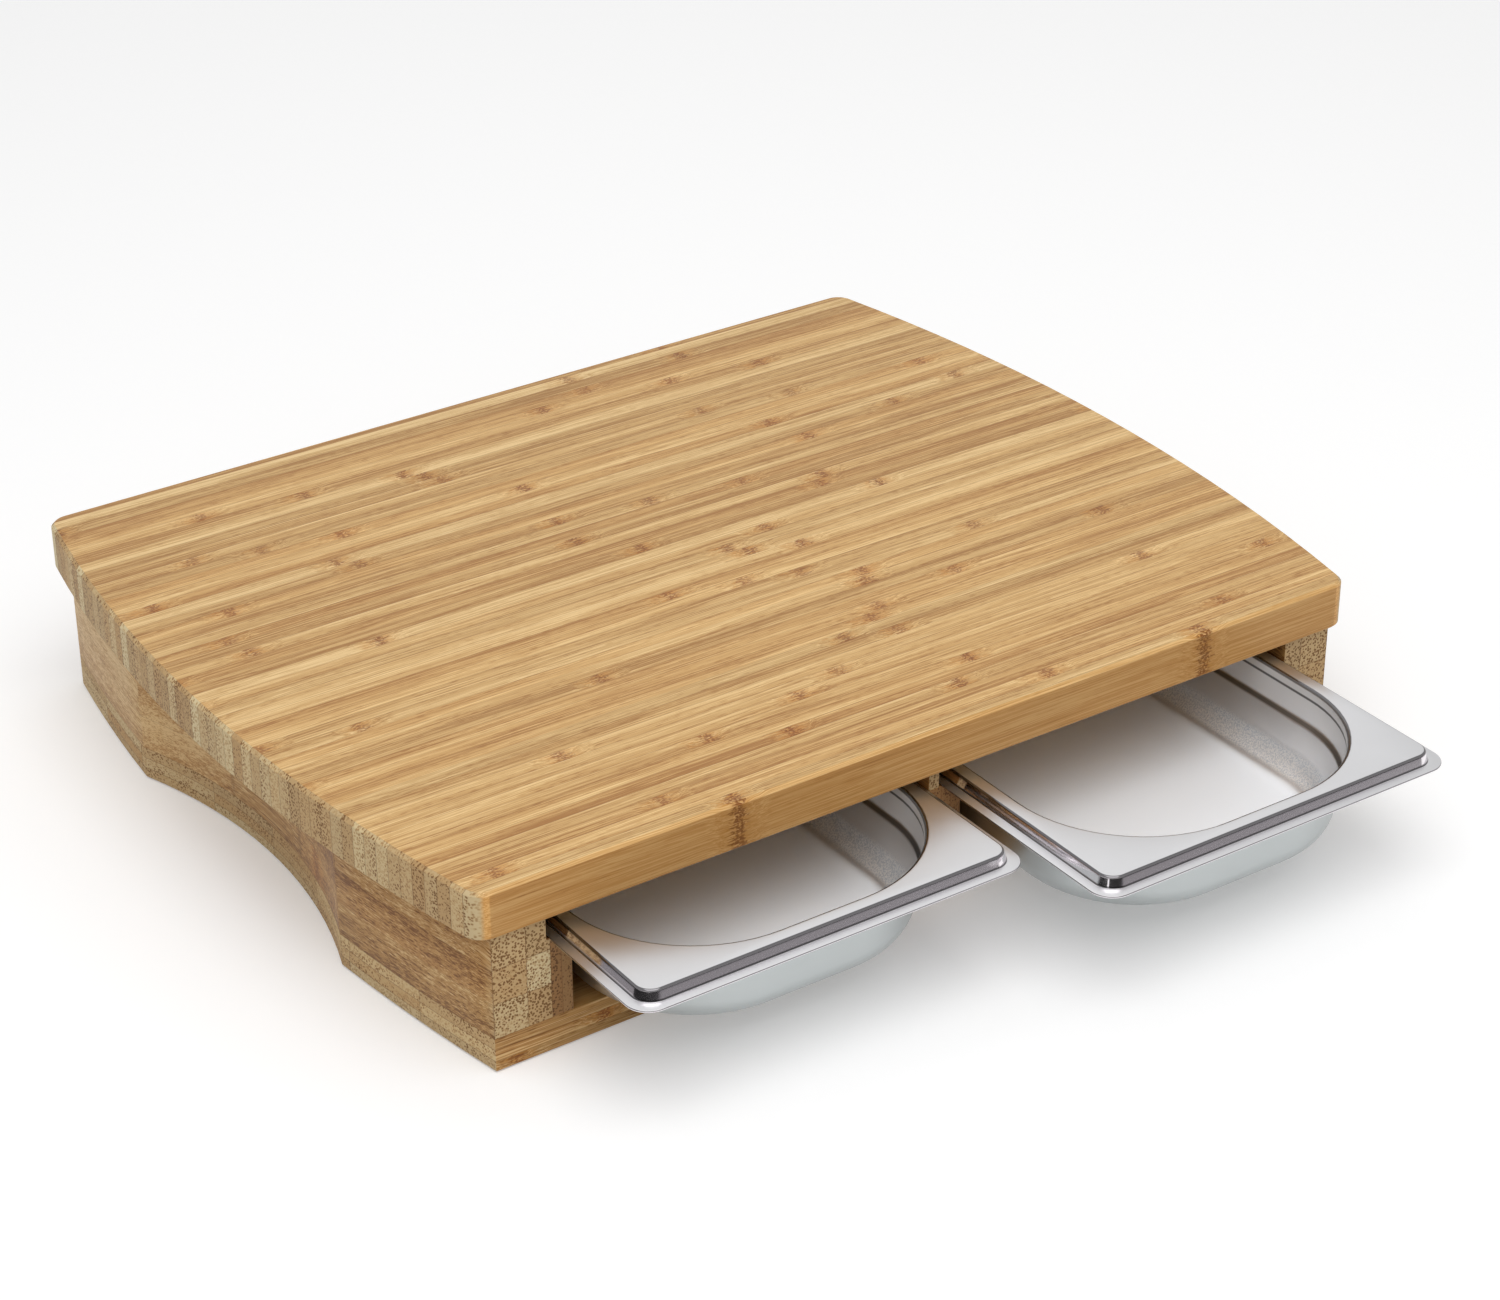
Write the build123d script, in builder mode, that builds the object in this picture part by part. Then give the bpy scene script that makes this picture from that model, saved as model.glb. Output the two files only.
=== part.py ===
from build123d import *
import math
import os

# Chopping board on a wooden case with two pressed steel trays that slide out of its front.
# Millimetres. X runs along the board, -Y is the front, +Z is up. The origin is the centre of
# the underside. The trays are drawn where they stand partly pulled out.

# Trays: shallow third-size catering pans, pressed from sheet.
tray_width = 176.0
tray_length = 325.0
tray_depth = 40.0
sheet = 0.8
lip_corner_radius = 10.0
flange_inset = 5.5
flange_corner_radius = 7.0
flange_rise = 4.8
flange_edge_chamfer = 0.9
skirt_taper = 14.0
basin_inset = 7.3
basin_corner_radius = 56.0
basin_mouth_chamfer = 1.2
upper_wall_depth = 15.0
shoulder_step = 2.2
shoulder_height = 2.0
lower_wall_taper = 6.0
floor_radius = 13.0

# Room around the trays.
side_gap = 0.75
end_gap = 0.5
run_gap = 0.25
lift_gap = 4.45
floor_gap = 1.05
closed_recess = 14.0
lip_support = 10.0

# Case.
floor_thickness = 15.0
rail_width = 25.0
groove_depth = 1.5
rib_width = 5.0
divider_setback = 3.0
back_panel_thickness = 20.0
case_bulge = 17.0
case_back_radius = 9.0
scoop_length = 171.0
scoop_depth = 15.0
case_edge_chamfer = 0.8
panel_rebate = 8.0

# Board.
board_thickness = 20.5
board_end_overhang = 6.5
board_front_overhang = 2.5
board_bulge = 19.0
board_corner_radius = 9.0
board_top_chamfer = 1.5
board_under_chamfer = 0.8

# Hidden glued tongues: rails and back panel into the board, rails into the bottom board.
tongue_thickness = 6.0
tongue_fit = 0.1
side_tongue_length = 280.0
back_tongue_length = 300.0
tongue_in_board = 10.0
tongue_in_case = 14.0
tongue_in_rail_foot = 12.0
tongue_in_bottom = 8.0
tongue_groove_width = tongue_thickness + 2 * tongue_fit
side_groove_length = side_tongue_length + 2 * tongue_fit
back_groove_length = back_tongue_length + 2 * tongue_fit

# How far each tray's lip stands in front of the board.
left_tray_ahead = 60.0
right_tray_ahead = 97.0

# Levels.
runner_height = tray_depth - flange_rise - sheet + floor_gap - run_gap
groove_height = run_gap + sheet + flange_rise + lift_gap
runner_top = floor_thickness + runner_height
board_under = runner_top + groove_height
lip_under = runner_top + run_gap
flange_top = lip_under + sheet + flange_rise

# Places along X.
bay_inner_x = rib_width / 2
groove_face_x = bay_inner_x + tray_width + 2 * side_gap
rail_inner_x = groove_face_x - groove_depth
tray_centre_x = bay_inner_x + side_gap + tray_width / 2
runner_inner_x = groove_face_x - side_gap - lip_support
runner_width = rail_inner_x - runner_inner_x
block_width = 2 * (bay_inner_x + side_gap + lip_support)
case_chord = 2 * (rail_inner_x + rail_width)
board_chord = case_chord + 2 * board_end_overhang

# Places along Y.
case_depth = closed_recess + tray_length + end_gap + back_panel_thickness
board_depth = case_depth + board_front_overhang
board_front = -board_depth / 2
case_front = board_front + board_front_overhang
case_back = case_front + case_depth
case_mid_y = (case_front + case_back) / 2
panel_front = case_back - back_panel_thickness
panel_mid_y = panel_front + back_panel_thickness / 2
divider_front = case_front + divider_setback

# Plan centres of the tongues.
rail_tongue_x = rail_inner_x + rail_width / 2
rail_tongue_centres = [(side * rail_tongue_x, case_mid_y) for side in (-1, 1)]
back_tongue_centre = (0.0, panel_mid_y)

os.makedirs("parts", exist_ok=True)


def arc_radius(chord, bulge):
    return (chord ** 2 / 4 + bulge ** 2) / (2 * bulge)


def bowed_outline(chord, bulge, front, back):
    """Plan with a straight front and back, and ends that bow outwards."""
    middle = (front + back) / 2
    with BuildSketch() as outline:
        with BuildLine():
            Line((-chord / 2, front), (chord / 2, front))
            ThreePointArc((chord / 2, front), (chord / 2 + bulge, middle), (chord / 2, back))
            Line((chord / 2, back), (-chord / 2, back))
            ThreePointArc((-chord / 2, back), (-chord / 2 - bulge, middle), (-chord / 2, front))
        make_face()
    return outline.sketch


def case_outline():
    """Plan of the case, with a shallow finger scoop in each end."""
    end_radius = arc_radius(case_depth, case_bulge)
    end_centre = case_chord / 2 + case_bulge - end_radius
    scoop_corner_x = end_centre + math.sqrt(end_radius ** 2 - scoop_length ** 2 / 4)
    scoop_radius = arc_radius(scoop_length, scoop_depth)
    scoop_centre = scoop_corner_x - scoop_depth + scoop_radius
    with BuildSketch() as outline:
        add(bowed_outline(case_chord, case_bulge, case_front, case_back))
        fillet(outline.vertices().group_by(Axis.Y)[-1], case_back_radius)
        with Locations((-scoop_centre, case_mid_y), (scoop_centre, case_mid_y)):
            Circle(scoop_radius, mode=Mode.SUBTRACT)
    return outline.sketch


def upright_bars(centres, width, length, level, height, mode=Mode.ADD):
    """Square bars that stand at one level on each of the plan centres."""
    with BuildSketch(Plane.XY.offset(level)) as bars:
        with Locations(*centres):
            Rectangle(width, length)
    extrude(bars.sketch, amount=height, mode=mode)


# ---- Chopping board ----
with BuildPart() as top_board:
    with BuildSketch(Plane.XY.offset(board_under)) as board_plan:
        add(bowed_outline(board_chord, board_bulge, board_front, -board_front))
        fillet(board_plan.vertices(), board_corner_radius)
    extrude(amount=board_thickness)
    chamfer(top_board.faces().sort_by(Axis.Z)[-1].edges(), board_top_chamfer)
    chamfer(top_board.faces().sort_by(Axis.Z)[0].edges(), board_under_chamfer)
    upright_bars(rail_tongue_centres, tongue_groove_width, side_groove_length,
                 board_under, tongue_in_board + tongue_fit, Mode.SUBTRACT)
    upright_bars([back_tongue_centre], back_groove_length, tongue_groove_width,
                 board_under, tongue_in_board + tongue_fit, Mode.SUBTRACT)
top_board.part.label = "top_board"
export_step(top_board.part, "parts/top_board.step")

# ---- Bottom board ----
with BuildPart() as bottom_board:
    with BuildSketch():
        add(case_outline())
    extrude(amount=floor_thickness)
    chamfer(bottom_board.faces().sort_by(Axis.Z)[0].edges(), case_edge_chamfer)
    upright_bars(rail_tongue_centres, tongue_groove_width, side_groove_length,
                 floor_thickness, -tongue_in_bottom - tongue_fit, Mode.SUBTRACT)
bottom_board.part.label = "bottom_board"
export_step(bottom_board.part, "parts/bottom_board.step")

# ---- Side rails and their runners ----
bay_length = panel_front - case_front
bay_mid_y = (case_front + panel_front) / 2
for side_name, side in (("left", -1), ("right", 1)):
    tongue_centre = (side * rail_tongue_x, case_mid_y)
    with BuildPart() as side_rail:
        with BuildSketch(Plane.XY.offset(floor_thickness)):
            add(case_outline())
            with Locations((side * (rail_inner_x + case_chord / 2), case_mid_y)):
                Rectangle(case_chord, case_depth, mode=Mode.INTERSECT)
        extrude(amount=board_under - floor_thickness)
        # Groove that the tray's lip runs in, closed above by the board.
        groove_centre = (side * (groove_face_x - groove_depth / 2), bay_mid_y)
        upright_bars([groove_centre], groove_depth, bay_length,
                     runner_top, groove_height, Mode.SUBTRACT)
        # Rebate at the back that takes the end of the back panel.
        rebate_centre = (side * (rail_inner_x + panel_rebate / 2), panel_mid_y)
        upright_bars([rebate_centre], panel_rebate, back_panel_thickness,
                     floor_thickness, board_under - floor_thickness, Mode.SUBTRACT)
        upright_bars([tongue_centre], tongue_groove_width, side_groove_length,
                     board_under, -tongue_in_case - tongue_fit, Mode.SUBTRACT)
        upright_bars([tongue_centre], tongue_groove_width, side_groove_length,
                     floor_thickness, tongue_in_rail_foot + tongue_fit, Mode.SUBTRACT)
    side_rail.part.label = f"{side_name}_side_rail"
    export_step(side_rail.part, f"parts/{side_name}_side_rail.step")

    with BuildPart() as runner:
        upright_bars([(side * (rail_inner_x - runner_width / 2), bay_mid_y)], runner_width, bay_length,
                     floor_thickness, runner_height)
    runner.part.label = f"{side_name}_runner"
    export_step(runner.part, f"parts/{side_name}_runner.step")

# ---- Divider between the trays: a block that both trays rest on, and a rib between their lips ----
divider_length = panel_front - divider_front
divider_centre = (0.0, (divider_front + panel_front) / 2)
with BuildPart() as divider_block:
    upright_bars([divider_centre], block_width, divider_length, floor_thickness, runner_height)
divider_block.part.label = "divider_block"
export_step(divider_block.part, "parts/divider_block.step")

with BuildPart() as divider_rib:
    upright_bars([divider_centre], rib_width, divider_length, runner_top, groove_height)
divider_rib.part.label = "divider_rib"
export_step(divider_rib.part, "parts/divider_rib.step")

# ---- Back panel, the stop behind the closed trays ----
with BuildPart() as back_panel:
    upright_bars([(0.0, panel_mid_y)], 2 * (rail_inner_x + panel_rebate), back_panel_thickness,
                 floor_thickness, board_under - floor_thickness)
    upright_bars([back_tongue_centre], back_groove_length, tongue_groove_width,
                 board_under, -tongue_in_case - tongue_fit, Mode.SUBTRACT)
back_panel.part.label = "back_panel"
export_step(back_panel.part, "parts/back_panel.step")

# ---- Tongues glued into the grooves ----
with BuildPart() as rail_tongues:
    upright_bars(rail_tongue_centres, tongue_thickness, side_tongue_length,
                 board_under - tongue_in_case, tongue_in_case + tongue_in_board)
rail_tongues.part.label = "rail_tongues"
export_step(rail_tongues.part, "parts/rail_tongues.step")

with BuildPart() as back_tongue:
    upright_bars([back_tongue_centre], back_tongue_length, tongue_thickness,
                 board_under - tongue_in_case, tongue_in_case + tongue_in_board)
back_tongue.part.label = "back_tongue"
export_step(back_tongue.part, "parts/back_tongue.step")

with BuildPart() as base_tongues:
    upright_bars(rail_tongue_centres, tongue_thickness, side_tongue_length,
                 floor_thickness - tongue_in_bottom, tongue_in_bottom + tongue_in_rail_foot)
base_tongues.part.label = "base_tongues"
export_step(base_tongues.part, "parts/base_tongues.step")

# ---- Pressed steel trays ----
flange_width = tray_width - 2 * flange_inset
flange_length = tray_length - 2 * flange_inset
mouth_width = flange_width - 2 * basin_inset
mouth_length = flange_length - 2 * basin_inset
shoulder_taper = math.degrees(math.atan(shoulder_step / shoulder_height))
shoulder_top = flange_top - upper_wall_depth
shoulder_foot = shoulder_top - shoulder_height
tray_under = flange_top - tray_depth


def draw_down(width, length, corner_radius, top, depth, taper, mode=Mode.ADD):
    """One stage of a pressing: a rounded rectangle drawn down with a draft."""
    with BuildSketch(Plane.XY.offset(top)) as stage:
        RectangleRounded(length, width, corner_radius, rotation=90)
    extrude(stage.sketch, amount=-depth, taper=taper, mode=mode)


def basin_form(grow, top):
    """The basin as a solid, with its walls and floor moved out by grow."""
    width = mouth_width + 2 * grow
    length = mouth_length + 2 * grow
    corner_radius = basin_corner_radius + grow
    lower_depth = shoulder_foot - tray_under - sheet + grow
    with BuildPart() as form:
        draw_down(width, length, corner_radius, top, top - shoulder_top, 0)
        draw_down(width, length, corner_radius, shoulder_top, shoulder_height, shoulder_taper)
        draw_down(width - 2 * shoulder_step, length - 2 * shoulder_step, corner_radius - shoulder_step,
                  shoulder_foot, lower_depth, lower_wall_taper)
        fillet(form.faces().sort_by(Axis.Z)[0].edges(), floor_radius + grow)
    return form.part


basin_outside = basin_form(sheet, flange_top - sheet)
basin_inside = basin_form(0.0, flange_top)

with BuildPart() as pressed_tray:
    # Flat lip all round.
    draw_down(tray_width, tray_length, lip_corner_radius, lip_under + sheet, sheet, 0)
    # Flange, raised above the lip on a sloping skirt and hollow underneath.
    draw_down(flange_width, flange_length, flange_corner_radius, flange_top, flange_rise, -skirt_taper)
    chamfer(pressed_tray.faces().sort_by(Axis.Z)[-1].edges(), flange_edge_chamfer)
    draw_down(flange_width - 2 * sheet, flange_length - 2 * sheet, flange_corner_radius - sheet,
              flange_top - sheet, flange_rise, -skirt_taper, Mode.SUBTRACT)
    # Basin, with its mouth eased over from the flange.
    add(basin_outside)
    add(basin_inside, mode=Mode.SUBTRACT)
    flange_face = pressed_tray.faces().filter_by(Axis.Z).sort_by(Axis.Z)[-1]
    chamfer(flange_face.inner_wires()[0].edges(), basin_mouth_chamfer)

for side_name, side, ahead in (("left", -1, left_tray_ahead), ("right", 1, right_tray_ahead)):
    with BuildPart() as tray:
        with Locations((side * tray_centre_x, board_front - ahead + tray_length / 2)):
            add(pressed_tray.part)
    tray.part.label = f"{side_name}_tray"
    export_step(tray.part, f"parts/{side_name}_tray.step")
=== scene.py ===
# Looks of a bamboo chopping board on a low case whose drawers are two pressed steel trays.
import math
from collections import namedtuple

import bpy
from mathutils import Matrix, Vector


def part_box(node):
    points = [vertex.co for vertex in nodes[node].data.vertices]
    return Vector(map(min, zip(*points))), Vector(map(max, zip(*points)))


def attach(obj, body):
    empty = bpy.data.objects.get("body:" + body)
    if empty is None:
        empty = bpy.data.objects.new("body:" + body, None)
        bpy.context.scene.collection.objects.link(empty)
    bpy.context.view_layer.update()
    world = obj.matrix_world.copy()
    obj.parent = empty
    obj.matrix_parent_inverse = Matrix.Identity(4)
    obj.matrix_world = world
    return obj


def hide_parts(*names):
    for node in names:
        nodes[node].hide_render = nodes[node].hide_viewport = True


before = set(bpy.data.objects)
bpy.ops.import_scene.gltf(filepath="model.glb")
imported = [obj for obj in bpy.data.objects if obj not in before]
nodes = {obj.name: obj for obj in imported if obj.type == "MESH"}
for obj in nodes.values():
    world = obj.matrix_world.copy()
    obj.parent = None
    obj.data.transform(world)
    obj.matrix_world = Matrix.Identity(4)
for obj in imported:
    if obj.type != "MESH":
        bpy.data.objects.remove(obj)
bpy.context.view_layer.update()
MM = 0.001


# ---- Building materials and the world from nodes ----
class Graph:
    """The nodes of one material or world. Most calls add a node and return the socket of its result."""

    def __init__(self, owner):
        owner.use_nodes = True
        self.tree = owner.node_tree
        self.tree.nodes.clear()

    def feed(self, socket, value):
        if isinstance(value, bpy.types.NodeSocket):
            self.tree.links.new(value, socket)
        elif socket.type == "RGBA":
            socket.default_value = (*value, 1.0)
        else:
            socket.default_value = value

    def node(self, kind, inputs, **settings):
        made = self.tree.nodes.new("ShaderNode" + kind)
        for key, value in settings.items():
            setattr(made, key, value)
        for key, value in inputs.items():
            self.feed(made.inputs[key], value)
        return made

    def coordinate(self, kind):
        return self.node("TexCoord", {}).outputs[kind]

    def math(self, operation, *values, clamp=False):
        return self.node("Math", dict(enumerate(values)), operation=operation, use_clamp=clamp).outputs[0]

    def add(self, a, b):
        return self.math("ADD", a, b)

    def times(self, a, b):
        return self.math("MULTIPLY", a, b)

    def ramp(self, value, low, high, to_low=0.0, to_high=1.0):
        """Smooth step of value from low..high to to_low..to_high."""
        inputs = {"Value": value, "From Min": low, "From Max": high, "To Min": to_low, "To Max": to_high}
        return self.node("MapRange", inputs, interpolation_type="SMOOTHSTEP").outputs[0]

    def mix(self, factor, a, b):
        """Blends two numbers."""
        return self.node("Mix", {0: factor, 2: a, 3: b}, data_type="FLOAT").outputs[0]

    def blend(self, factor, a, b, mode="MIX"):
        """Blends two colours."""
        return self.node("Mix", {0: factor, 6: a, 7: b}, data_type="RGBA", blend_type=mode).outputs[2]

    def vector(self, x=0.0, y=0.0, z=0.0):
        return self.node("CombineXYZ", {0: x, 1: y, 2: z}).outputs[0]

    def noise(self, vector, scale=1.0, detail=2.0, roughness=0.5):
        inputs = {"Vector": vector, "Scale": scale, "Detail": detail, "Roughness": roughness}
        return self.node("TexNoise", inputs).outputs[0]

    def cells(self, vector):
        """Voronoi cells one unit apart: distance to the cell's centre, and the cell's random colour."""
        made = self.node("TexVoronoi", {"Vector": vector, "Scale": 1.0})
        return made.outputs["Distance"], made.outputs["Color"]

    def random(self, vector):
        """Three random numbers for a whole-number vector."""
        made = self.node("TexWhiteNoise", {"Vector": vector}, noise_dimensions="3D")
        return self.split(made.outputs["Color"])

    def split(self, vector):
        """The three numbers of a vector or colour."""
        return self.node("SeparateXYZ", {0: vector}).outputs[:]

    def relief(self, height, depth, strength):
        """Normals of a surface with small relief, depth metres deep."""
        return self.node("Bump", {"Height": height, "Distance": depth, "Strength": strength}).outputs[0]

    def seen_directly(self):
        """1 for rays from the camera and rays off or through something shiny, 0 for diffuse light."""
        ray = self.node("LightPath", {}).outputs
        shiny = self.math("MAXIMUM", ray["Is Glossy Ray"], ray["Is Transmission Ray"])
        return self.math("MAXIMUM", ray["Is Camera Ray"], shiny)

    def surface(self, **inputs):
        """Ends a material in a Principled shader. Names of inputs use _ for a space."""
        named = {key.replace("_", " "): value for key, value in inputs.items()}
        self.node("OutputMaterial", {"Surface": self.node("BsdfPrincipled", named).outputs[0]})


def srgb(red, green, blue):
    """A screen colour, 0 to 255, as the linear colour that a shader takes."""
    def linear(value):
        value /= 255
        return value / 12.92 if value <= 0.04045 else ((value + 0.055) / 1.055) ** 2.4
    return (linear(red), linear(green), linear(blue))


def new_material(name):
    """An empty material and the graph that fills it."""
    material = bpy.data.materials.new(name)
    return material, Graph(material)


def dress(names, material):
    """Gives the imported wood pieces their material."""
    for name in names:
        for slot in nodes[name].material_slots:
            slot.material = material


def add_to_scene(name, data):
    made = bpy.data.objects.new(name, data)
    bpy.context.scene.collection.objects.link(made)
    return made


# ---- Bamboo ----
# The grain is a solid texture. "along" runs with the fibres, "across" and "up" over the glued staves,
# so one pattern gives streaks on the faces and pores on the end grain. Each palette runs from dark to pale.
FACE = (srgb(158, 114, 60), srgb(198, 160, 103), srgb(230, 198, 144))
FLANK = (srgb(168, 114, 56), srgb(204, 149, 80), srgb(226, 178, 112))
END = (srgb(122, 90, 54), srgb(184, 154, 110), srgb(214, 198, 158))
CASE_FACE = (srgb(120, 78, 34), srgb(176, 134, 78), srgb(214, 184, 134))
DARK_END = (srgb(96, 66, 36), srgb(150, 112, 70), srgb(178, 142, 98))
NODE_CORE = srgb(122, 66, 12)
NODE_FLAME = srgb(190, 130, 52)
WARM_TINT = srgb(196, 140, 72)
GLUE = srgb(112, 76, 40)
NODE_SPACING = (240.0, 330.0)
UNJOINTED = (4000.0, -2000.0)
# Numbers that only keep the random draws of one stave apart from those of another.
JOINT_STRIDE = 31.0
SECOND_DRAW = 7.0
FIBRE_SHIFT = 7000.0


def bamboo(name, along, across, staves, layers, joints=UNJOINTED, face=FACE, flank=FLANK, end=END,
           mirrored=(), fixed_nodes=None, seed=0.0, tone_spread=0.5, pits=0.3, end_pits=0.8, fade=None):
    """Bamboo glued from staves, with lengths in millimetres.

    staves, layers and joints are the size of the pieces across, up and along, each with the place of one
    seam. mirrored names the axis on which both sides of the object are alike. fixed_nodes is (stave number,
    node spacing, place of a node) for one stave whose nodes are given. tone_spread is how much the
    staves differ. pits and end_pits are how dark the fibre bundles are on a face and on an end. fade is
    (from, to) for wood that turns paler and smoother between two places along it.
    """
    material, g = new_material(name)
    axes = dict(zip("XYZ", g.split(g.coordinate("Object"))))
    for axis in mirrored:
        axes[axis] = g.math("ABSOLUTE", axes[axis])
    length = g.times(axes[along], 1 / MM)
    width = g.times(axes[across], 1 / MM)
    height = g.times(axes[({"X", "Y", "Z"} - {along, across}).pop()], 1 / MM)

    def count(value, pitch):
        """How many pieces lie between the known seam and this place."""
        size, seam_place = pitch
        return g.math("DIVIDE", g.math("SUBTRACT", value, seam_place), size)

    # Which stave this is, its random character, and the place within it from 0 to 1.
    row, tier = count(width, staves), count(height, layers)
    stave = g.math("FLOOR", row)
    column = g.add(g.math("FLOOR", tier), g.times(g.math("FLOOR", count(length, joints)), JOINT_STRIDE))
    tone, flip, phase = g.random(g.vector(stave, column, seed))
    warmth, stretch, strength = g.random(g.vector(stave, column, seed + SECOND_DRAW))
    in_row, in_tier = g.math("FRACT", row), g.math("FRACT", tier)
    skin_side = g.mix(g.math("GREATER_THAN", flip, 0.5), in_row, g.math("SUBTRACT", 1.0, in_row))

    # Nodes of the culm, at a random place on each stave.
    spacing = g.mix(stretch, *NODE_SPACING)
    node_at = g.times(phase, NODE_SPACING[1])
    if fixed_nodes:
        number, fixed_spacing, fixed_place = fixed_nodes
        chosen = g.math("COMPARE", stave, number, 0.1)
        spacing = g.mix(chosen, spacing, fixed_spacing)
        node_at = g.mix(chosen, node_at, fixed_place)
        strength = g.mix(chosen, strength, 1.0)
    turns = g.math("FRACT", g.add(g.math("DIVIDE", g.math("SUBTRACT", length, node_at), spacing), 20.5))
    from_node = g.times(g.math("SUBTRACT", turns, 0.5), spacing)
    near_node = g.ramp(g.math("ABSOLUTE", from_node), 16.0, 2.0)

    # Fibres run along the stave, wander a little, and swirl round a node.
    def clouds(per_length, per_width, detail):
        return g.noise(g.vector(g.times(length, per_length), g.times(width, per_width),
                                g.times(height, per_width)), detail=detail)

    wander, swirl = clouds(0.012, 0.08, 1.0), clouds(0.16, 0.25, 1.0)
    drift = g.add(g.times(wander, 2.2), g.times(g.times(near_node, swirl), 2.6))
    bent_width, bent_height = g.add(width, drift), g.add(height, drift)
    start = g.add(length, g.times(tone, FIBRE_SHIFT))

    def grain(per_length, per_width, detail=2.0, roughness=0.5):
        return g.noise(g.vector(g.times(start, per_length), g.times(bent_width, per_width),
                                g.times(bent_height, per_width)), detail=detail, roughness=roughness)

    broad = grain(0.007, 0.35)
    streak = grain(0.014, 1.5, detail=3.0, roughness=0.65)
    hair = grain(0.04, 4.2)
    fibres = g.ramp(grain(0.010, 2.3), 0.40, 0.60)
    distance, bundle = g.cells(g.vector(g.times(start, 0.16), bent_width, bent_height))
    chance = g.ramp(g.split(bundle)[0], 0.1, 0.7, 0.2, 1.0)
    bundles = g.times(g.ramp(distance, 0.46, 0.16), chance)
    cut_bundles = g.times(g.ramp(distance, 0.62, 0.28), chance)

    # A node's mark is a small ragged core, with paler flames along the fibres beside it.
    ragged = grain(0.10, 1.4, detail=3.0, roughness=0.6)
    ragged_reach = g.math("ABSOLUTE", g.add(from_node, g.times(g.math("SUBTRACT", ragged, 0.5), 18.0)))
    speck = clouds(0.8, 1.2, 2.0)
    marked = g.mix(strength, 0.65, 1.0)
    core = g.times(g.times(g.ramp(ragged_reach, 4.4, 0.8), g.ramp(speck, 0.34, 0.55)), marked)
    flames = g.times(g.times(g.ramp(ragged_reach, 13.0, 2.0), g.ramp(ragged, 0.40, 0.60)), marked)

    # One number from dark to pale for the long faces, and one for the ends.
    level = g.add(0.5, g.times(g.math("SUBTRACT", tone, 0.5), tone_spread))
    weights = ((broad, 0.75), (streak, 1.7), (hair, 1.2), (fibres, 0.22), (skin_side, -0.3))
    for pattern, weight in weights:
        level = g.add(level, g.times(g.math("SUBTRACT", pattern, 0.5), weight))
    density = g.mix(skin_side, 0.4, 1.0)
    if fade:
        faded = g.ramp(length, *fade)
        level = g.add(level, g.mix(faded, -0.16, 0.26))
        density = g.times(density, g.mix(faded, 1.2, 0.3))
    face_level = g.math("SUBTRACT", level, g.times(g.times(bundles, density), pits), clamp=True)
    end_level = g.add(0.70, g.times(g.math("SUBTRACT", tone, 0.5), tone_spread))
    end_level = g.math("SUBTRACT", end_level, g.times(g.times(cut_bundles, density), end_pits), clamp=True)

    def palette(value, colours):
        dark, middle, pale = colours
        lower = g.blend(g.ramp(value, 0.0, 0.5), dark, middle)
        return g.blend(g.ramp(value, 0.5, 1.0), lower, pale)

    # The colours of the three kinds of cut: across the fibres, on a stave's flank and on its face.
    normal = dict(zip("XYZ", g.split(g.coordinate("Normal"))))
    is_end = g.ramp(g.math("ABSOLUTE", normal[along]), 0.36, 0.60)
    is_flank = g.ramp(g.math("ABSOLUTE", normal[across]), 0.5, 0.9)
    colour = g.blend(is_flank, palette(face_level, face), palette(face_level, flank))
    colour = g.blend(g.times(flames, 0.7), colour, NODE_FLAME)
    colour = g.blend(g.times(core, 0.92), colour, NODE_CORE)
    colour = g.blend(is_end, colour, palette(end_level, end))
    colour = g.blend(g.times(warmth, 0.22), colour, WARM_TINT, "SOFT_LIGHT")

    # Glue lines between staves and layers.
    def seam(place, pitch):
        nearest = g.math("MINIMUM", place, g.math("SUBTRACT", 1.0, place))
        return g.ramp(g.times(nearest, pitch[0]), 0.24, 0.06)

    glue = g.math("MAXIMUM", seam(in_row, staves), seam(in_tier, layers))
    colour = g.blend(g.times(glue, g.mix(is_end, 0.30, 0.62)), colour, GLUE)

    roughness = g.add(0.40, g.add(g.times(hair, 0.16), g.times(is_end, 0.14)))
    height_map = g.math("SUBTRACT", g.times(hair, 0.5), g.add(g.times(bundles, 0.5), g.times(glue, 0.6)))
    g.surface(Base_Color=colour, Roughness=roughness, Specular_IOR_Level=0.3,
              Normal=g.relief(height_map, 0.0001, 0.18))
    return material


dress(["top_board"], bamboo("bamboo_board", "X", "Y", staves=(7.0, -181.0), layers=(400.0, -200.0),
                            fixed_nodes=(0.0, 228.5, -96.0)))
dress(["left_side_rail", "right_side_rail"],
      bamboo("bamboo_rail", "Y", "Z", staves=(15.17, 15.0), layers=(14.6, 203.4), joints=(171.0, 86.75),
             mirrored="X", face=CASE_FACE, flank=CASE_FACE, seed=4.0, tone_spread=0.30, pits=0.6,
             end_pits=1.25, fade=(-95.0, 100.0)))
dress(["bottom_board", "back_panel"],
      bamboo("bamboo_base", "X", "Z", staves=(5.0, 0.0), layers=(45.0, 0.0), face=CASE_FACE, seed=5.0,
             tone_spread=0.24))
dress(["left_runner", "right_runner", "divider_block"],
      bamboo("bamboo_dark", "Y", "X", staves=(4.6, 169.25), layers=(60.0, 0.0), mirrored="X",
             end=DARK_END, seed=11.0))
dress(["divider_rib", "rail_tongues", "back_tongue", "base_tongues"],
      bamboo("bamboo_rib", "Y", "X", staves=(5.2, -2.6), layers=(40.0, 0.0), seed=17.0))


# ---- Pressed stainless steel ----
# Heights on the trays above the case's underside, in metres.
LIP_TOP = 0.05125
FLANGE_TOP = 0.05605
SHOULDER = 0.0400
FILLET_TOP = 0.0285

# Painted shade: the rim's flat tops take a darker steel than its bends, to tone down the sky they reflect.
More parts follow.
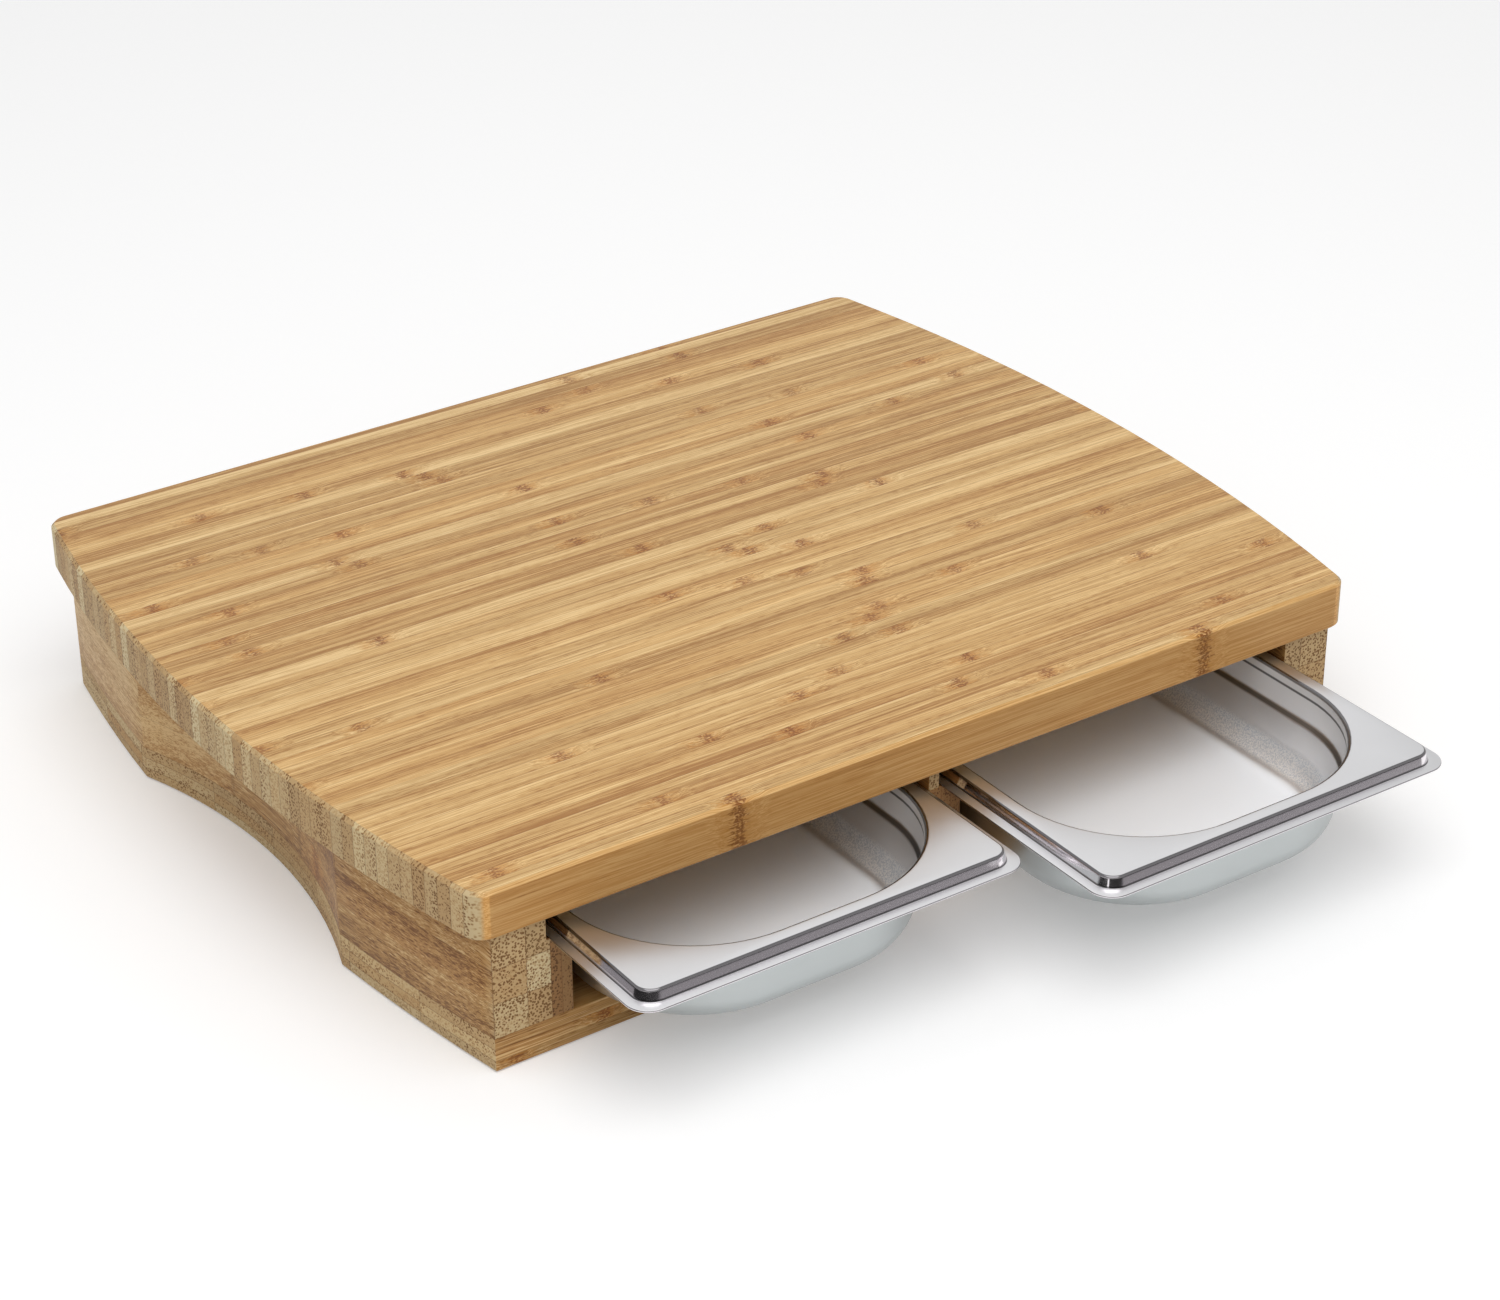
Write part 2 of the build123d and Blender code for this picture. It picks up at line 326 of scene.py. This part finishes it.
SHADED_RIM_TOPS = ((0.53, 0.53, 0.54), (0.58, 0.58, 0.59))
RIM_BRIGHT = (0.90, 0.86, 0.89)
WALL_STEEL = (0.80, 0.80, 0.81)
# Painted light: the basin floor is paler than the rest of the sheet, and a little blue against the board's
# warm reflected light.
FLOOR_STEEL_PAINTED_LIGHT = (0.95, 0.97, 1.0)
# Colours of the painted glints on the floor bend.
PAINTED_GLINTS = ((0.70, 0.74, 0.79), (1.0, 1.0, 1.0))
# Painted shade: the tray's outside and underside take a darker steel than its inside.
SHADED_UNDERSIDE_STEEL = (0.53, 0.56, 0.56)
# Colour of the painted dark reflections in the tight bends.
PAINTED_DARK_REFLECTION = (0.02, 0.02, 0.022)


def steel():
    """Pressed sheet: satin flange and floor, brushed walls. Painted shade darkens the rim's flat tops and the
    underside, the floor is painted pale and cool, the floor bend has painted glints and the tight bends of
    the rim painted dark reflections."""
    material, g = new_material("tray_steel")
    place = g.coordinate("Object")
    x, y, z = g.split(place)
    facing_x, facing_y, upright = g.split(g.coordinate("Normal"))
    across, along, _ = g.split(g.coordinate("Generated"))
    outward = g.add(g.times(facing_x, g.math("SUBTRACT", across, 0.5)),
                    g.times(facing_y, g.math("SUBTRACT", along, 0.5)))

    # Masks of the tray's zones, each 1 in the zone and 0 outside it.
    inward = g.times(g.math("LESS_THAN", outward, -0.02), g.math("LESS_THAN", upright, 0.8))
    below_rim = g.math("MAXIMUM", g.math("LESS_THAN", z, LIP_TOP - 0.001), inward)
    outside = g.times(below_rim, g.math("GREATER_THAN", g.math("SUBTRACT", outward, upright), 0.0))
    level = g.ramp(upright, 0.86, 0.995)
    floor = g.times(below_rim, g.ramp(upright, 0.90, 0.9995))
    inside = g.math("SUBTRACT", 1.0, outside)
    low_bend = g.times(g.ramp(z, FILLET_TOP, FILLET_TOP - 0.004), g.ramp(upright, 0.97, 0.80))
    fillet = g.times(g.times(below_rim, inside), low_bend)

    # Painted dark reflections: thin dark lines where the sheet turns sharply, at the mouth, flange's edge,
    # skirt's foot and shoulder.
    turning = g.times(g.ramp(upright, 0.990, 0.955), g.ramp(upright, 0.20, 0.50))
    high = g.ramp(z, FLANGE_TOP - 0.0016, FLANGE_TOP - 0.0009)
    foot = g.times(g.ramp(z, LIP_TOP + 0.0011, LIP_TOP + 0.0004),
                   g.ramp(z, LIP_TOP - 0.0006, LIP_TOP - 0.0001))
    dark_reflection_lines = g.math("MAXIMUM", g.times(turning, high), g.times(g.ramp(upright, 0.97, 0.80), foot))
    step = g.ramp(g.math("ABSOLUTE", g.math("SUBTRACT", z, SHOULDER)), 0.0012, 0.0004)
    dark_reflection_lines = g.math("MAXIMUM", dark_reflection_lines, g.times(g.times(step, inside), 0.92))

    grain = g.noise(place, scale=2600.0, detail=2.0)
    mottle = g.noise(place, scale=45.0, detail=3.0)
    drawn = g.noise(g.vector(g.times(x, 900.0), g.times(y, 900.0), g.times(z, 90.0)), detail=2.0)
    # Specks for the floor bend's painted glints, and for its relief.
    glints = g.noise(place, scale=1500.0, detail=2.0)
    texture = g.mix(level, drawn, grain)

    roughness = g.mix(below_rim, 0.10, 0.30)
    roughness = g.mix(g.times(level, g.math("SUBTRACT", 1.0, below_rim)), roughness, 0.28)
    roughness = g.mix(floor, roughness, 0.50)
    roughness = g.mix(fillet, roughness, 0.34)
    roughness = g.mix(outside, roughness, 0.28)
    matt = g.math("MAXIMUM", below_rim, level)
    roughness = g.add(roughness, g.times(matt, g.add(g.times(mottle, 0.05), g.times(texture, 0.05))))

    # Painted shade on the rim's flat tops, varied by the mottle; the bends keep the brighter steel.
    colour = g.blend(level, RIM_BRIGHT, g.blend(mottle, *SHADED_RIM_TOPS))
    colour = g.blend(below_rim, colour, WALL_STEEL)
    # Painted light on the basin floor: a paler, cooler steel than the walls and rim.
    colour = g.blend(floor, colour, FLOOR_STEEL_PAINTED_LIGHT)
    # Painted glints: pale specks across the floor bend.
    colour = g.blend(fillet, colour, g.blend(g.ramp(glints, 0.35, 0.65), *PAINTED_GLINTS))
    # Painted shade on the outside and underside of the tray.
    colour = g.blend(outside, colour, SHADED_UNDERSIDE_STEEL)
    # Painted dark reflections in the tight bends.
    colour = g.blend(g.times(dark_reflection_lines, 0.85), colour, PAINTED_DARK_REFLECTION)

    upper_wall = g.ramp(z, SHOULDER + 0.0008, SHOULDER + 0.0016)
    wall_metallic = g.mix(g.math("SUBTRACT", below_rim, outside), 1.0, g.mix(upper_wall, 0.85, 0.45))
    metallic = g.mix(fillet, g.mix(floor, wall_metallic, 0.18), 0.5)
    height_map = g.add(g.times(texture, matt), g.times(g.times(fillet, glints), 9.0))
    g.surface(Base_Color=colour, Metallic=metallic, Roughness=roughness,
              Normal=g.relief(height_map, 0.00001, 0.25))
    return material


# The sheet's upper surface from the lip's edge inwards, in millimetres. Heights are above the lip's top.
# corner_radius is that of the tray's outline at that inset.
Turn = namedtuple("Turn", "inset height bend_radius corner_radius")
LIP_EDGE = Turn(0.0, 0.0, 0.0, 10.0)
SKIRT_FOOT = Turn(4.3, 0.0, 0.5, 8.2)
FLANGE_EDGE = Turn(5.5, 4.8, 1.3, 7.0)
MOUTH = Turn(12.8, 4.8, 2.0, 56.0)
STEP_EDGE = Turn(13.1, -10.2, 0.8, 55.7)
STEP_FOOT = Turn(15.0, -12.2, 1.2, 53.8)
FLOOR_BEND = Turn(17.3, -34.4, 13.0, 51.5)
BENDS = (SKIRT_FOOT, FLANGE_EDGE, MOUTH, STEP_EDGE, STEP_FOOT, FLOOR_BEND)
FLOOR_INSET = 40.0
SHEET = 0.8
CORNER_STEPS = 18


def bend(before, corner, after, radius, steps):
    """Points of the arc that rounds one corner of the section."""
    start, point, end = Vector(before), Vector(corner), Vector(after)
    toward_start, toward_end = (start - point).normalized(), (end - point).normalized()
    half = toward_start.angle(toward_end) / 2
    tangent = radius / math.tan(half)
    centre = point + (toward_start + toward_end).normalized() * radius / math.sin(half)
    first = point + toward_start * tangent - centre
    last = point + toward_end * tangent - centre
    sweep = first.angle_signed(last)
    return [centre + Matrix.Rotation(-sweep * step / steps, 2) @ first for step in range(steps + 1)]


def section():
    """The pressing's section as (inset, height, corner radius), with its bends rounded."""
    corners = [(turn.inset, turn.height) for turn in (LIP_EDGE, *BENDS)] + [(FLOOR_INSET, FLOOR_BEND.height)]
    rows = [(LIP_EDGE.inset, LIP_EDGE.height, LIP_EDGE.corner_radius)]
    for place, turn in enumerate(BENDS):
        steps = 14 if turn is FLOOR_BEND else 6
        for inset, height in bend(*corners[place:place + 3], turn.bend_radius, steps):
            rows.append((inset, height, turn.corner_radius - (inset - turn.inset)))
    return rows


def outline(half_width, half_length, radius, height):
    """Rounded rectangle, anticlockwise, always with the same number of points. Takes mm and gives metres."""
    points = []
    for quarter, (side_x, side_y) in enumerate(((1, 1), (-1, 1), (-1, -1), (1, -1))):
        for step in range(CORNER_STEPS + 1):
            angle = math.pi / 2 * (quarter + step / CORNER_STEPS)
            points.append(((side_x * (half_width - radius) + radius * math.cos(angle)) * MM,
                           (side_y * (half_length - radius) + radius * math.sin(angle)) * MM, height * MM))
    return points


def pressed_tray(name, node, body, material):
    """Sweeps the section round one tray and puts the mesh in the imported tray's place."""
    low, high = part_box(node)
    half_width, half_length = (high.x - low.x) / 2 / MM, (high.y - low.y) / 2 / MM
    lip_top = high.z / MM - FLANGE_EDGE.height
    rings = [outline(half_width - inset, half_length - inset, corner, lip_top + height)
             for inset, height, corner in section()]
    middle_x, middle_y = (low.x + high.x) / 2, (low.y + high.y) / 2
    points = [(x + middle_x, y + middle_y, z) for ring in rings for x, y, z in ring]
    count = len(rings[0])
    faces = []
    for ring in range(0, len(points) - count, count):
        for place in range(count):
            after = (place + 1) % count
            faces.append((ring + place, ring + after, ring + count + after, ring + count + place))
    faces.append(tuple(range(len(points) - count, len(points))))
    mesh = bpy.data.meshes.new(name)
    mesh.from_pydata(points, [], faces)
    mesh.shade_smooth()
    mesh.set_sharp_from_angle(angle=math.radians(40))
    mesh.materials.append(material)
    tray = add_to_scene(name, mesh)
    sheet = tray.modifiers.new("sheet", "SOLIDIFY")
    sheet.thickness = SHEET * MM
    sheet.offset = -1.0
    edge = tray.modifiers.new("edge", "BEVEL")
    edge.width = 0.25 * MM
    edge.segments = 2
    edge.limit_method = "ANGLE"
    edge.angle_limit = math.radians(60)
    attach(tray, body)
    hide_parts(node)


tray_steel = steel()
for side in ("left", "right"):
    pressed_tray(f"{side}_pressed_tray", f"{side}_tray", f"{side}_tray", tray_steel)


# ---- Softened edges of the wood ----
def soften(name, width, segments):
    """Rounds a wood piece's edges, width millimetres wide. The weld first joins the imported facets."""
    weld = nodes[name].modifiers.new("weld", "WELD")
    weld.merge_threshold = 0.00001
    bevel = nodes[name].modifiers.new("edges", "BEVEL")
    bevel.width = width * MM
    bevel.segments = segments
    bevel.limit_method = "ANGLE"
    bevel.angle_limit = math.radians(30)


soften("top_board", 0.9, 3)
for name in ("bottom_board", "left_side_rail", "right_side_rail", "left_runner", "right_runner",
             "divider_block", "divider_rib", "back_panel"):
    soften(name, 0.3, 2)


# ---- Studio ----
LAMP_TARGET = Vector((0.0, -0.1, 0.0))
WORLD_LIGHT = 0.55
FLOOR_GLOW = 0.24
FLOOR_REACH = 6.0
# A hair below the case, whose flat underside would otherwise lie in the same plane.
FLOOR_LEVEL = -0.2 * MM
CARD_GREY = (0.22, 0.2112, 0.22)
CARD_BLACK = (0.01, 0.0096, 0.01)


def light(name, size, location, watts):
    """A square soft lamp. Places and sizes of the studio are in metres."""
    lamp = bpy.data.lights.new(name, "AREA")
    lamp.shape = "RECTANGLE"
    lamp.size = lamp.size_y = size
    lamp.energy = watts
    holder = add_to_scene(name, lamp)
    holder.location = location
    aim = LAMP_TARGET - Vector(location)
    holder.rotation_euler = aim.to_track_quat("-Z", "Y").to_euler()


light("overhead", 1.6, (-0.35, -0.75, 1.65), 18.2)
light("behind", 1.4, (0.55, 0.85, 1.35), 2.0)

floor_mesh = bpy.data.meshes.new("floor")
floor_mesh.from_pydata([(x * FLOOR_REACH, y * FLOOR_REACH, FLOOR_LEVEL)
                        for x, y in ((-1, -1), (1, -1), (1, 1), (-1, 1))], [], [(0, 1, 2, 3)])
paint, g = new_material("floor_paint")
g.surface(Base_Color=(0.82, 0.82, 0.82), Roughness=0.9, Specular_IOR_Level=0.1,
          Emission_Color=(1.0, 1.0, 1.0), Emission_Strength=g.times(g.seen_directly(), FLOOR_GLOW))
floor_mesh.materials.append(paint)
add_to_scene("floor", floor_mesh)


def flag(name, start, end, grey_top, black_top):
    """A low card, grey below and black above, as a photographer sets around polished metal. Only
    reflections see it."""
    points = [(*place, level) for level in (0.001, grey_top, black_top) for place in (start, end)]
    mesh = bpy.data.meshes.new(name)
    mesh.from_pydata(points, [], [(0, 1, 3, 2), (2, 3, 5, 4)])
    for shade, colour in (("grey", CARD_GREY), ("black", CARD_BLACK)):
        material, g = new_material(f"{name}_{shade}")
        g.surface(Base_Color=(0.0, 0.0, 0.0), Roughness=1.0, Emission_Color=colour, Emission_Strength=1.0)
        mesh.materials.append(material)
    mesh.polygons[1].material_index = 1
    card = add_to_scene(name, mesh)
    card.visible_camera = card.visible_diffuse = card.visible_shadow = card.visible_transmission = False


flag("front_flag", (-0.45, -0.62), (0.75, -0.62), 0.035, 0.12)
flag("left_flag", (-0.31, -0.45), (-0.31, 0.1), 0.02, 0.07)

# The world is white where it is seen and dimmer as a light.
world = bpy.data.worlds.new("studio")
bpy.context.scene.world = world
g = Graph(world)
sky = g.node("Background", {"Color": (1.0, 1.0, 1.0), "Strength": g.mix(g.seen_directly(), WORLD_LIGHT, 1.0)})
g.node("OutputWorld", {"Surface": sky.outputs[0]})

bpy.context.scene.view_settings.view_transform = "Standard"

# ---- Camera, at the photograph's place ----
lens = bpy.data.cameras.new("camera")
lens.lens = 85.61
lens.sensor_width = 36.0
camera = add_to_scene("camera", lens)
right = Vector((0.82512, -0.56494, -0.00501))
up = -Vector((-0.28007, -0.40132, -0.87207))
back = -Vector((0.49065, 0.72096, -0.48936))
camera.matrix_world = (Matrix.Translation((-0.7303, -1.1210, 0.7825))
                       @ Matrix((right, up, back)).transposed().to_4x4())
bpy.context.scene.camera = camera
